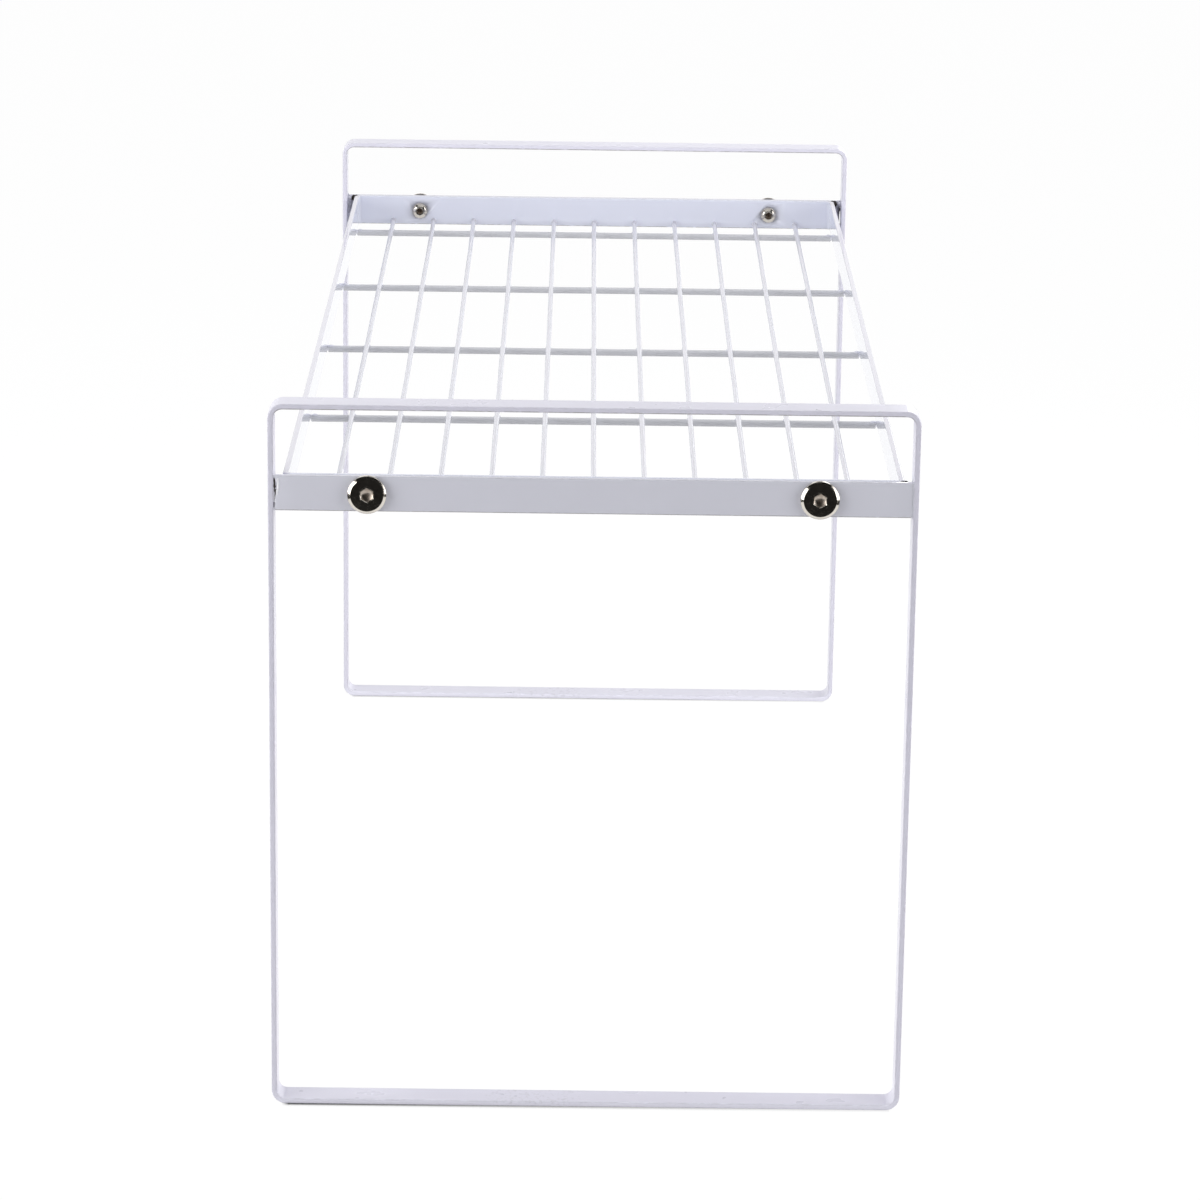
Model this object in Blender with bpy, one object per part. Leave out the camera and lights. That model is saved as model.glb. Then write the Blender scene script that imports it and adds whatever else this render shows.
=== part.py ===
# Kitchen shelf organizer: a wire deck inside an upright flat-bar frame, carried at each end
# by a leg ring bent from flat strap. Each ring has a cross plate welded in under its top bar.
# At each end two sleeve nuts, with a button screw in each, clamp the frame's end bar to that
# plate. The open gap between plate and top bar is the handle, and the tops of the rings carry
# the feet of a second shelf.
# Metres, +Z up, standing on Z = 0. +Y runs along the shelf from the front ring to the back ring.
import math

import bmesh
import bpy

# Leg rings, bent from one flat strap that lies flat across the shelf
SHELF_LENGTH = 0.450            # outer face of the front ring to outer face of the back ring
RING_WIDTH = 0.200
RING_HEIGHT = 0.229
STRAP_WIDTH = 0.010             # along the shelf
STRAP_THICKNESS = 0.0018
RING_INNER_RADIUS = 0.0028
STRAP_EDGE_RADIUS = 0.0005

# Cross plates and frame are cut from bar of one height, with their top edges level
BAR_HEIGHT = 0.0112
HANDLE_GAP = 0.0206             # underside of the ring's top bar down to the plate's top edge

# Cross plate between a ring's legs, flush with the ring's outer face
PLATE_THICKNESS = 0.0016
PLATE_EDGE_RADIUS = 0.0004

# Shelf frame, one flat bar on edge bent to a rectangle
FRAME_BAR_THICKNESS = 0.0018
FRAME_SIDE_CLEARANCE = 0.0026   # from a ring's leg to the side of the frame
FRAME_INNER_RADIUS = 0.0012
FRAME_EDGE_RADIUS = 0.0004

# Deck: thin wires along the shelf, lying on thicker rods across it
WIRE_COUNT = 11
WIRE_DIAMETER = 0.0017
EDGE_WIRE_DISTANCE = 0.0138     # from the frame's inner side to the first wire's centre
ROD_COUNT = 5
ROD_DIAMETER = 0.0024
END_ROD_DISTANCE = 0.0153       # from the frame's inner end to the first rod's centre
ROD_LAP = 0.0006                # the rods' tops above the frame's bottom edge

# Button screws, put in from inside
BOLT_INSET = 0.0287             # from a ring's leg to the axis of a screw and its nut
SCREW_DIAMETER = 0.003
BUTTON_OVERLAP = 0.0003         # the head past the edge of its hole, all round
BUTTON_HEIGHT = 0.002
BUTTON_RIM = 0.0003
BUTTON_SOCKET_ACROSS_FLATS = 0.0025
BUTTON_SOCKET_DEPTH = 0.0012

# Sleeve nuts, put in from outside, with a wide flat head and a barrel that the screw enters
HEAD_DIAMETER = 0.012
HEAD_THICKNESS = 0.0018
HEAD_BEVEL_WIDTH = 0.0009
HEAD_BEVEL_DEPTH = 0.0007
HEAD_SOCKET_ACROSS_FLATS = 0.004
HEAD_SOCKET_DEPTH = 0.0013
BARREL_WALL = 0.0007
BARREL_SHORTFALL = 0.0003       # the barrel ends this far inside the frame's bar
BORE_FLOOR = 0.001              # solid between the point of the socket and the end of the bore

# Hexagon sockets, each with a shallow round countersink and a conical bottom
COUNTERSINK = 0.0003
SOCKET_CONE_DEPTH = 0.0003

# Clearances
WELD_GAP = 0.0003               # between pieces that are welded together
SEAT_GAP = 0.0003               # under each head, and between cross plate and frame
HOLE_CLEARANCE = 0.0003         # all round a barrel in its holes
THREAD_CLEARANCE = 0.0003       # all round a screw in its bore
BORE_END_CLEARANCE = 0.0004     # past the screw's tip
CUT_OVERRUN = 0.001
MERGE_DISTANCE = 0.000002

# Smoothness
EDGE_SEGMENTS = 2
FILLET_LIMIT_SHARE = 0.4        # of the thickness that a fillet rounds, at most
CORNER_STEPS = 8
HEAD_SIDES = 40
BUTTON_SIDES = 24
HOLE_SIDES = 24
WIRE_SIDES = 12
ROD_SIDES = 16
DOME_STEPS = 5
SHARP_ANGLE = math.radians(35)

# Colour, roughness and metallic value of each finish
WHITE_COAT = ((0.78, 0.78, 0.83, 1.0), 0.35, 0.0)
BRIGHT_NICKEL = ((0.62, 0.60, 0.57, 1.0), 0.18, 1.0)

# Places and sizes that several pieces share
shelf_half = SHELF_LENGTH / 2
ring_inner_half = RING_WIDTH / 2 - STRAP_THICKNESS
deck_top = RING_HEIGHT - STRAP_THICKNESS - HANDLE_GAP
bar_middle = deck_top - BAR_HEIGHT / 2
bar_bottom = deck_top - BAR_HEIGHT
frame_half_width = ring_inner_half - FRAME_SIDE_CLEARANCE
frame_half_length = shelf_half - PLATE_THICKNESS - SEAT_GAP
frame_inner_half_width = frame_half_width - FRAME_BAR_THICKNESS
frame_inner_half_length = frame_half_length - FRAME_BAR_THICKNESS
rod_height = bar_bottom + ROD_LAP - ROD_DIAMETER / 2
wire_height = bar_bottom + ROD_LAP + WELD_GAP + WIRE_DIAMETER / 2
bolt_across = ring_inner_half - BOLT_INSET
bore_diameter = SCREW_DIAMETER + 2 * THREAD_CLEARANCE
barrel_diameter = bore_diameter + 2 * BARREL_WALL
hole_diameter = barrel_diameter + 2 * HOLE_CLEARANCE
button_diameter = hole_diameter + 2 * BUTTON_OVERLAP
barrel_length = 2 * SEAT_GAP + PLATE_THICKNESS + FRAME_BAR_THICKNESS - BARREL_SHORTFALL
bore_depth = HEAD_THICKNESS + barrel_length - HEAD_SOCKET_DEPTH - SOCKET_CONE_DEPTH - BORE_FLOOR
screw_length = SEAT_GAP + BARREL_SHORTFALL + bore_depth - BORE_END_CLEARANCE


def clear_scene():
    for old in list(bpy.data.objects):
        bpy.data.objects.remove(old, do_unlink=True)


def finish_object(obj, finish):
    color, roughness, metallic = finish
    material = bpy.data.materials.new(obj.name + "_finish")
    material.use_nodes = True
    shader = material.node_tree.nodes["Principled BSDF"]
    shader.inputs["Base Color"].default_value = color
    shader.inputs["Roughness"].default_value = roughness
    shader.inputs["Metallic"].default_value = metallic
    obj.data.materials.append(material)


def add_object(name, mesh, parent=None, location=(0, 0, 0), rotation=(0, 0, 0)):
    obj = bpy.data.objects.new(name, mesh)
    bpy.context.scene.collection.objects.link(obj)
    obj.parent = parent
    obj.location = location
    obj.rotation_euler = rotation
    return obj


def smooth_mesh(name, bm):
    bmesh.ops.recalc_face_normals(bm, faces=bm.faces)
    mesh = bpy.data.meshes.new(name)
    bm.to_mesh(mesh)
    bm.free()
    mesh.shade_smooth()
    mesh.set_sharp_from_angle(angle=SHARP_ANGLE)
    return mesh


def round_edges(obj, radius, thickness):
    bevel = obj.modifiers.new("rounded edges", "BEVEL")
    bevel.width = min(radius, FILLET_LIMIT_SHARE * thickness)
    bevel.segments = EDGE_SEGMENTS
    bevel.limit_method = "ANGLE"
    bevel.angle_limit = SHARP_ANGLE
    bevel.use_clamp_overlap = False


def as_cutter(obj):
    obj.hide_render = True
    obj.display_type = "WIRE"
    return obj


def cut_away(obj, cutter):
    cut = obj.modifiers.new(cutter.name, "BOOLEAN")
    cut.operation = "DIFFERENCE"
    cut.solver = "EXACT"
    cut.object = cutter


# Points of a rectangle with rounded corners, counter-clockwise round its own middle
def rounded_outline(half_across, half_up, radius):
    points = []
    for corner in range(4):
        middle_across = (half_across - radius) * (1 if corner in (0, 3) else -1)
        middle_up = (half_up - radius) * (1 if corner in (0, 1) else -1)
        for step in range(CORNER_STEPS + 1):
            angle = (corner + step / CORNER_STEPS) * math.pi / 2
            across = middle_across + radius * math.cos(angle)
            points.append((across, middle_up + radius * math.sin(angle)))
    return points


# A flat bar bent into a closed loop: its inner surface is swept, then thickened outward
def bent_bar(name, loop_points, sweep, thickness, edge_radius, parent=None):
    bm = bmesh.new()
    loop = [bm.verts.new(point) for point in loop_points]
    edges = [bm.edges.new(pair) for pair in zip(loop, loop[1:] + loop[:1])]
    swept = bmesh.ops.extrude_edge_only(bm, edges=edges)["geom"]
    far_verts = [item for item in swept if isinstance(item, bmesh.types.BMVert)]
    bmesh.ops.translate(bm, vec=sweep, verts=far_verts)
    obj = add_object(name, smooth_mesh(name, bm), parent)
    wall = obj.modifiers.new("bar thickness", "SOLIDIFY")
    wall.thickness = thickness
    wall.offset = 1
    wall.use_even_offset = True
    round_edges(obj, edge_radius, thickness)
    return obj


# A round bar along local Z, centred on its middle
def round_bar_mesh(name, diameter, length, sides):
    bm = bmesh.new()
    radius = diameter / 2
    bmesh.ops.create_cone(bm, cap_ends=True, segments=sides, radius1=radius, radius2=radius, depth=length)
    return smooth_mesh(name, bm)


# A body turned about local Z from (radius, height) points that start and end on the axis
def turned_mesh(name, profile, sides):
    bm = bmesh.new()
    line = [bm.verts.new((radius, 0, height)) for radius, height in profile]
    edges = [bm.edges.new(pair) for pair in zip(line, line[1:])]
    bmesh.ops.spin(bm, geom=line + edges, axis=(0, 0, 1), angle=2 * math.pi, steps=sides, use_merge=True)
    bmesh.ops.remove_doubles(bm, verts=bm.verts, dist=MERGE_DISTANCE)
    return smooth_mesh(name, bm)


# The countersink round a socket's mouth, from the axis out to its rim at the given height
def countersink_profile(across_flats, rim_height):
    corner = across_flats / 2 / math.cos(math.pi / 6)
    floor = rim_height - COUNTERSINK
    return [(0, floor), (corner - COUNTERSINK / 2, floor), (corner + COUNTERSINK / 2, rim_height)]


# Cutter for a hexagon socket whose mouth is at local Z = 0 and whose bottom is a shallow cone
def socket_cutter(name, across_flats, depth):
    corner = across_flats / 2 / math.cos(math.pi / 6)
    bm = bmesh.new()
    rings = []
    for height in (-depth, CUT_OVERRUN):
        angles = [(side + 1.5) * math.pi / 3 for side in range(6)]
        rings.append([bm.verts.new((corner * math.cos(a), corner * math.sin(a), height)) for a in angles])
    bottom, top = rings
    tip = bm.verts.new((0, 0, -depth - SOCKET_CONE_DEPTH))
    for side in range(6):
        after = (side + 1) % 6
        bm.faces.new((bottom[side], bottom[after], top[after], top[side]))
        bm.faces.new((bottom[after], bottom[side], tip))
    bm.faces.new(top)
    return as_cutter(add_object(name, smooth_mesh(name, bm)))


# One long cutter per side passes through both ends, so the holes of plates and frame line up
def bolt_hole_cutters():
    cutters = []
    length = SHELF_LENGTH + 2 * CUT_OVERRUN
    for side, name in ((-1, "left_bolt_holes"), (1, "right_bolt_holes")):
        mesh = round_bar_mesh(name, hole_diameter, length, HOLE_SIDES)
        place = (side * bolt_across, 0, bar_middle)
        cutters.append(as_cutter(add_object(name, mesh, None, place, (math.pi / 2, 0, 0))))
    return cutters


# Local Y = 0 is the ring's outer face, and its strap reaches to local +Y
def leg_ring(name, leg):
    outline = rounded_outline(ring_inner_half, RING_HEIGHT / 2 - STRAP_THICKNESS, RING_INNER_RADIUS)
    points = [(across, 0, RING_HEIGHT / 2 + up) for across, up in outline]
    ring = bent_bar(name, points, (0, STRAP_WIDTH, 0), STRAP_THICKNESS, STRAP_EDGE_RADIUS, leg)
    finish_object(ring, WHITE_COAT)


def cross_plate(name, leg, hole_cutters):
    bm = bmesh.new()
    bmesh.ops.create_cube(bm, size=1)
    size = (2 * (ring_inner_half - WELD_GAP), PLATE_THICKNESS, BAR_HEIGHT)
    bmesh.ops.scale(bm, vec=size, verts=bm.verts)
    plate = add_object(name, smooth_mesh(name, bm), leg, (0, PLATE_THICKNESS / 2, bar_middle))
    round_edges(plate, PLATE_EDGE_RADIUS, PLATE_THICKNESS)
    for cutter in hole_cutters:
        cut_away(plate, cutter)
    finish_object(plate, WHITE_COAT)


def shelf_frame(hole_cutters):
    outline = rounded_outline(frame_inner_half_width, frame_inner_half_length, FRAME_INNER_RADIUS)
    points = [(across, along, bar_bottom) for across, along in outline]
    frame = bent_bar("shelf_frame", points, (0, 0, BAR_HEIGHT), FRAME_BAR_THICKNESS, FRAME_EDGE_RADIUS)
    for cutter in hole_cutters:
        cut_away(frame, cutter)
    finish_object(frame, WHITE_COAT)


def deck_wires():
    first = EDGE_WIRE_DISTANCE - frame_inner_half_width
    pitch = -2 * first / (WIRE_COUNT - 1)
    length = 2 * (frame_inner_half_length - WELD_GAP)
    for number in range(WIRE_COUNT):
        name = f"deck_wire_{number + 1:02d}"
        mesh = round_bar_mesh(name, WIRE_DIAMETER, length, WIRE_SIDES)
        place = (first + number * pitch, 0, wire_height)
        wire = add_object(name, mesh, None, place, (math.pi / 2, 0, 0))
        finish_object(wire, WHITE_COAT)


def cross_rods():
    first = END_ROD_DISTANCE - frame_inner_half_length
    pitch = -2 * first / (ROD_COUNT - 1)
    length = 2 * (frame_inner_half_width - WELD_GAP)
    for number in range(ROD_COUNT):
        name = f"cross_rod_{number + 1}"
        mesh = round_bar_mesh(name, ROD_DIAMETER, length, ROD_SIDES)
        place = (0, first + number * pitch, rod_height)
        rod = add_object(name, mesh, None, place, (0, math.pi / 2, 0))
        finish_object(rod, WHITE_COAT)


# Local +Z points out of the head, whose underside is local Z = 0
def sleeve_nut_mesh():
    head = HEAD_DIAMETER / 2
    barrel = barrel_diameter / 2
    bore = bore_diameter / 2
    profile = countersink_profile(HEAD_SOCKET_ACROSS_FLATS, HEAD_THICKNESS)
    profile += [
        (head - HEAD_BEVEL_WIDTH, HEAD_THICKNESS),
        (head, HEAD_THICKNESS - HEAD_BEVEL_DEPTH),
        (head, 0),
        (barrel, 0),
        (barrel, -barrel_length),
        (bore, -barrel_length),
        (bore, bore_depth - barrel_length),
        (0, bore_depth - barrel_length),
    ]
    return turned_mesh("sleeve_nut", profile, HEAD_SIDES)


# Local +Z points out of the head, whose underside is local Z = 0
def button_screw_mesh():
    head = button_diameter / 2
    shank = SCREW_DIAMETER / 2
    dome_rise = BUTTON_HEIGHT - BUTTON_RIM
    mouth = countersink_profile(BUTTON_SOCKET_ACROSS_FLATS, BUTTON_HEIGHT)[-1][0]
    steepest = math.acos(mouth / head)
    mouth_height = BUTTON_RIM + dome_rise * math.sin(steepest)
    profile = countersink_profile(BUTTON_SOCKET_ACROSS_FLATS, mouth_height)
    for step in range(1, DOME_STEPS + 1):
        angle = steepest * (1 - step / DOME_STEPS)
        profile.append((head * math.cos(angle), BUTTON_RIM + dome_rise * math.sin(angle)))
    profile += [(head, 0), (shank, 0), (shank, -screw_length), (0, -screw_length)]
    return turned_mesh("button_screw", profile, BUTTON_SIDES)


def place_fastener(name, mesh, socket, mouth_height, parent, location, turn):
    fastener = add_object(name, mesh.copy(), parent, location, (turn, 0, 0))
    cutter = add_object(name + "_socket", socket.data, fastener, (0, 0, mouth_height))
    cut_away(fastener, as_cutter(cutter))
    finish_object(fastener, BRIGHT_NICKEL)


def leg_end(end, direction, hole_cutters, nut_mesh, nut_socket):
    turn = 0 if direction < 0 else math.pi
    leg = add_object(end + "_leg", None, None, (0, direction * shelf_half, 0), (0, 0, turn))
    leg_ring(end + "_leg_ring", leg)
    cross_plate(end + "_cross_plate", leg, hole_cutters)
    for side, across in (("left", direction * bolt_across), ("right", -direction * bolt_across)):
        place = (across, -SEAT_GAP, bar_middle)
        place_fastener(f"{end}_{side}_sleeve_nut", nut_mesh, nut_socket, HEAD_THICKNESS, leg, place, math.pi / 2)


def end_screws(end, direction, screw_mesh, screw_socket):
    seat = direction * (frame_inner_half_length - SEAT_GAP)
    turn = direction * math.pi / 2
    for side, across in (("left", -bolt_across), ("right", bolt_across)):
        name = f"{end}_{side}_button_screw"
        place = (across, seat, bar_middle)
        place_fastener(name, screw_mesh, screw_socket, BUTTON_HEIGHT, None, place, turn)


def build_shelf():
    clear_scene()
    hole_cutters = bolt_hole_cutters()
    shelf_frame(hole_cutters)
    deck_wires()
    cross_rods()
    nut_mesh = sleeve_nut_mesh()
    nut_socket = socket_cutter("nut_socket_shape", HEAD_SOCKET_ACROSS_FLATS, HEAD_SOCKET_DEPTH)
    screw_mesh = button_screw_mesh()
    screw_socket = socket_cutter("screw_socket_shape", BUTTON_SOCKET_ACROSS_FLATS, BUTTON_SOCKET_DEPTH)
    for end, direction in (("front", -1), ("back", 1)):
        leg_end(end, direction, hole_cutters, nut_mesh, nut_socket)
        end_screws(end, direction, screw_mesh, screw_socket)


build_shelf()
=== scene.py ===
import math
import bmesh
import bpy
from mathutils import Matrix, Vector, noise


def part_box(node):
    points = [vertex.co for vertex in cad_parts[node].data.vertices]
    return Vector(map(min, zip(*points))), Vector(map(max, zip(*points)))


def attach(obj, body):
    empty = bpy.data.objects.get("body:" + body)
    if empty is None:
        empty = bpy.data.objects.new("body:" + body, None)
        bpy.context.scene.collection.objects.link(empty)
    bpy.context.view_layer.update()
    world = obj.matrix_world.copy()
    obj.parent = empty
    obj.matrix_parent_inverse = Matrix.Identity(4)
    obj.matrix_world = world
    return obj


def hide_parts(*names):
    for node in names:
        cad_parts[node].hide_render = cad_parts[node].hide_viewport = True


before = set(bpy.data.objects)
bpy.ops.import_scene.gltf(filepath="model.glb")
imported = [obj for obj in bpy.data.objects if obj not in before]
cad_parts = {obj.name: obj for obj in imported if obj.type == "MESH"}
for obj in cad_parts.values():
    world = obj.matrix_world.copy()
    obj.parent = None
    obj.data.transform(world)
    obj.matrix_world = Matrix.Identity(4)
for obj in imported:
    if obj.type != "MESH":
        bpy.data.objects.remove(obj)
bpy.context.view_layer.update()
mm = 0.001
bothEnds = (-1, 1)


# helpers for objects, materials and nodes

def addObject(name, data):
    made = bpy.data.objects.new(name, data)
    bpy.context.scene.collection.objects.link(made)
    return made


def startMaterial(name):
    material = bpy.data.materials.new(name)
    material.use_nodes = True
    return material, material.node_tree, material.node_tree.nodes["Principled BSDF"]


def setAll(thing, **settings):
    for key, setting in settings.items():
        setattr(thing, key, setting)


def feed(tree, inputs, values):
    # an input takes another node's output or a plain value; None leaves it as it is
    for label, value in values.items():
        if isinstance(value, bpy.types.NodeSocket):
            tree.links.new(value, inputs[label])
        elif value is not None:
            inputs[label].default_value = value


def addNode(tree, kind, values=None, **settings):
    made = tree.nodes.new(kind)
    setAll(made, **settings)
    feed(tree, made.inputs, values or {})
    return made


def mathNode(tree, operation, first, second=None, third=None, clamp=False):
    terms = {0: first, 1: second, 2: third}
    return addNode(tree, "ShaderNodeMath", terms, operation=operation, use_clamp=clamp).outputs[0]


def mapNode(tree, value, given, wanted):
    labels = ("Value", "From Min", "From Max", "To Min", "To Max")
    values = dict(zip(labels, (value, *given, *wanted)))
    return addNode(tree, "ShaderNodeMapRange", values).outputs[0]


def mixColor(tree, factor, first, second):
    return addNode(tree, "ShaderNodeMix", {0: factor, 6: first, 7: second}, data_type="RGBA").outputs[2]


def splitPlace(tree, place):
    return addNode(tree, "ShaderNodeSeparateXYZ", {0: place}).outputs


# camera: a long lens a little above the shelf, looking along it

cameraLook = {
    "place": (-0.00384, -1.60630, 0.56366),
    "downDegrees": 15.980,
    "turnDegrees": 0.259,
    "leanDegrees": 0.780,
    "focalPixels": 4654.5,
    "picturePixels": 1200,
}


def setCamera(look):
    down = math.radians(look["downDegrees"])
    turn = math.radians(look["turnDegrees"])
    lean = math.radians(look["leanDegrees"])
    ahead = Vector((math.sin(turn) * math.cos(down), math.cos(turn) * math.cos(down), -math.sin(down)))
    levelRight = Vector((math.cos(turn), -math.sin(turn), 0))
    levelUp = levelRight.cross(ahead)
    right = levelRight * math.cos(lean) + levelUp * math.sin(lean)
    up = levelUp * math.cos(lean) - levelRight * math.sin(lean)
    lens = bpy.data.cameras.new("shelfCamera")
    lens.lens = look["focalPixels"] / look["picturePixels"] * lens.sensor_width
    camera = addObject("shelfCamera", lens)
    turned = Matrix((right, up, -ahead)).transposed().to_4x4()
    camera.matrix_world = Matrix.Translation(look["place"]) @ turned
    bpy.context.scene.camera = camera


setCamera(cameraLook)
print("camera set")


# stage: white room and ground with a painted contact shadow, soft boxes, and black cards that only
# reflections see

stageLook = {
    "groundSize": 6.0,
    "groundColor": (0.60, 0.60, 0.605, 1),
    "groundGlow": (0.90, 1.07),  # how much of the ground's look is plain white, and how bright
    "contactReach": 0.0040,  # how far the painted contact shadow under a piece reaches
    "contactSamples": 8,
    "contactOpen": (0.71, 0.88),  # openness of the ground where the painted shadow is full, and where it ends
    "contactLight": (0.06, 0.80),  # how light the painted shadow stays, at the left and at the right leg
    "contactAcross": (-0.09, 0.09),  # changes between these places across
    "contactBehind": 0.52,  # how light the painted shadow stays under the back ring
    "contactAlong": (-0.1, 0.1),  # and between these along the shelf
    "contactEnd": (0.0945, 0.0970),  # where the painted shadow fades out across the shelf
    "roomLight": (0.66, 0.25),  # level with the shelf, and overhead
    "roomColor": (0.975, 0.975, 1.0, 1),
    "cardColor": (0.009, 0.008, 0.007, 1),
    "aim": (0, 0, 0.16),
}
# mirrored False lights without showing in reflections, spread False does only that
softBoxes = {
    "leftFrontBox": {"place": (-0.82, -0.60, 0.36), "size": (0.46, 0.70), "watts": 3.65},
    "rightFrontBox": {"place": (0.82, -0.60, 0.36), "size": (0.42, 0.70), "watts": 2.5, "mirrored": False},
    "leftSideBox": {"place": (-0.90, 0.05, 0.34), "size": (0.50, 0.50), "watts": 2.5, "mirrored": False},
    "rightSideBox": {"place": (0.90, 0.05, 0.34), "size": (0.50, 0.50), "watts": 3.1, "mirrored": False},
    "rightMirrorBox": {"place": (0.86, -0.40, 0.38), "size": (0.34, 0.70), "watts": 2.3, "spread": False},
    "leftMirrorBox": {"place": (-0.84, -0.33, 0.38), "size": (0.20, 0.60), "watts": 1.1, "spread": False},
    "topPanel": {"place": (0, -0.01, 0.50), "size": (0.46, 0.64), "watts": 0.78},
    "backPanel": {"place": (0.33, 0.45, 0.48), "size": (0.40, 0.30), "watts": 1.05},
}
blackCards = {
    "frontCard": {"size": (3.0, 1.5), "place": (0, -0.90, 0.75), "tilt": (90, 0, 0)},
    "leftCard": {"size": (1.0, 1.3), "place": (-1.45, -0.40, 0.65), "tilt": (90, 0, 90)},
    "rightCard": {"size": (1.0, 1.3), "place": (1.45, -0.40, 0.65), "tilt": (90, 0, 90)},
    "leftRug": {"size": (0.95, 0.85), "place": (-0.95, -0.46, 0.002)},
    "rightRug": {"size": (0.95, 0.85), "place": (0.95, -0.46, 0.002)},
    "frontRug": {"size": (1.0, 0.35), "place": (0, -0.72, 0.002)},
    "ceilingCard": {"size": (2.4, 1.3), "place": (0, -0.25, 1.30)},
    "backCard": {"size": (1.4, 0.95), "place": (0.56, 2.0, 1.32), "tilt": (90, 0, 0)},
}


def seenDirectly(tree):
    # 1 for what the camera, a reflection or clear glass looks at, 0 for plain lighting
    ray = addNode(tree, "ShaderNodeLightPath").outputs
    seen = mathNode(tree, "MAXIMUM", ray["Is Camera Ray"], ray["Is Glossy Ray"])
    return mathNode(tree, "MAXIMUM", seen, ray["Is Transmission Ray"])


def mixShaders(tree, share, plain, white, outKind):
    mix = addNode(tree, "ShaderNodeMixShader", {0: share, 1: plain.outputs[0], 2: white.outputs[0]})
    addNode(tree, outKind, {0: mix.outputs[0]})


def setRoom(look):
    world = bpy.data.worlds.new("whiteRoom")
    world.use_nodes = True
    bpy.context.scene.world = world
    tree = world.node_tree
    tree.nodes.clear()
    height = splitPlace(tree, addNode(tree, "ShaderNodeTexCoord").outputs["Generated"])["Z"]
    strength = mapNode(tree, height, (0, 1), look["roomLight"])
    light = addNode(tree, "ShaderNodeBackground", {"Color": look["roomColor"], "Strength": strength})
    white = addNode(tree, "ShaderNodeBackground", {"Color": (1, 1, 1, 1)})
    mixShaders(tree, seenDirectly(tree), light, white, "ShaderNodeOutputWorld")


def flatSheet(name, width, height):
    mesh = bpy.data.meshes.new(name)
    w, h = width / 2, height / 2
    mesh.from_pydata([(-w, -h, 0), (w, -h, 0), (w, h, 0), (-w, h, 0)], [], [(0, 1, 2, 3)])
    return addObject(name, mesh)


def layGround(look):
    ground = flatSheet("ground", look["groundSize"], look["groundSize"])
    material, tree, _ = startMaterial("whiteGround")
    tree.nodes.clear()
    across, along, _ = splitPlace(tree, addNode(tree, "ShaderNodeTexCoord").outputs["Object"])
    # painted contact shadow: an ambient occlusion node darkens the ground's colour and glow near the pieces,
    # deepest at the left leg
    leftToRight = mapNode(tree, across, look["contactAcross"], look["contactLight"])
    outside = mapNode(tree, mathNode(tree, "ABSOLUTE", across), look["contactEnd"], (0, 1))
    behind = mapNode(tree, along, look["contactAlong"], (0, look["contactBehind"]))
    least = mathNode(tree, "MAXIMUM", mathNode(tree, "MAXIMUM", leftToRight, outside), behind)
    reach, samples = look["contactReach"], look["contactSamples"]
    contact = addNode(tree, "ShaderNodeAmbientOcclusion", {"Distance": reach}, samples=samples)
    line = mapNode(tree, contact.outputs["AO"], look["contactOpen"], (least, 1))
    shade = mixColor(tree, line, (0, 0, 0, 1), look["groundColor"])
    matte = addNode(tree, "ShaderNodeBsdfDiffuse", {"Color": shade})
    whiteShare, brightness = look["groundGlow"]
    white = addNode(tree, "ShaderNodeEmission", {"Strength": brightness})
    glow = mathNode(tree, "MULTIPLY", mathNode(tree, "MULTIPLY", seenDirectly(tree), whiteShare), line)
    mixShaders(tree, glow, matte, white, "ShaderNodeOutputMaterial")
    ground.data.materials.append(material)


def hangSoftBox(name, place, size, watts, aim, mirrored=True, spread=True):
    lamp = bpy.data.lights.new(name, "AREA")
    lamp.shape = "RECTANGLE"
    lamp.size, lamp.size_y = size
    lamp.energy = watts
    box = addObject(name, lamp)
    box.location = place
    box.rotation_euler = (Vector(aim) - Vector(place)).to_track_quat("-Z", "Y").to_euler()
    setAll(box, visible_camera=False, visible_glossy=mirrored, visible_diffuse=spread)


def standCard(name, color, size, place, tilt=(0, 0, 0)):
    card = flatSheet(name, *size)
    card.location = place
    card.rotation_euler = [math.radians(angle) for angle in tilt]
    material, tree, shader = startMaterial(name + "Cloth")
    feed(tree, shader.inputs, {"Base Color": color, "Roughness": 1})
    card.data.materials.append(material)
    setAll(card, visible_camera=False, visible_diffuse=False, visible_transmission=False,
           visible_shadow=False)


setRoom(stageLook)
layGround(stageLook)
for boxName, boxLook in softBoxes.items():
    hangSoftBox(boxName, aim=stageLook["aim"], **boxLook)
for cardName, cardLook in blackCards.items():
    standCard(cardName, stageLook["cardColor"], **cardLook)
bpy.context.scene.view_settings.view_transform = "Standard"
print("stage set")


# shader groups that several finishes share; sizes in them are millimetres

def startGroup(name, inputs, outputs):
    tree = bpy.data.node_groups.new(name, "ShaderNodeTree")
    for label, value in inputs.items():
        socket = tree.interface.new_socket(label, in_out="INPUT", socket_type="NodeSocketFloat")
        socket.default_value = value
    for label in outputs:
        tree.interface.new_socket(label, in_out="OUTPUT", socket_type="NodeSocketFloat")
    return tree, addNode(tree, "NodeGroupInput").outputs, addNode(tree, "NodeGroupOutput").inputs


def placeGroup(tree, group, *values):
    # the values go to the group's inputs in their order
    return addNode(tree, "ShaderNodeGroup", dict(enumerate(values)), node_tree=group).outputs


def millimetrePlace(tree):
    place = addNode(tree, "ShaderNodeTexCoord").outputs["Object"]
    return addNode(tree, "ShaderNodeVectorMath", {0: place, "Scale": 1 / mm}, operation="SCALE").outputs[0]


def noiseOf(tree, place, size, detail):
    values = {"Vector": place, "Scale": mathNode(tree, "DIVIDE", 1.0, size), "Detail": detail}
    return addNode(tree, "ShaderNodeTexNoise", values).outputs["Fac"]


def islands(tree, value, gain, start):
    # lifts a noise so that only its higher parts stand out
    return mathNode(tree, "MULTIPLY_ADD", value, gain, start, clamp=True)


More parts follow.
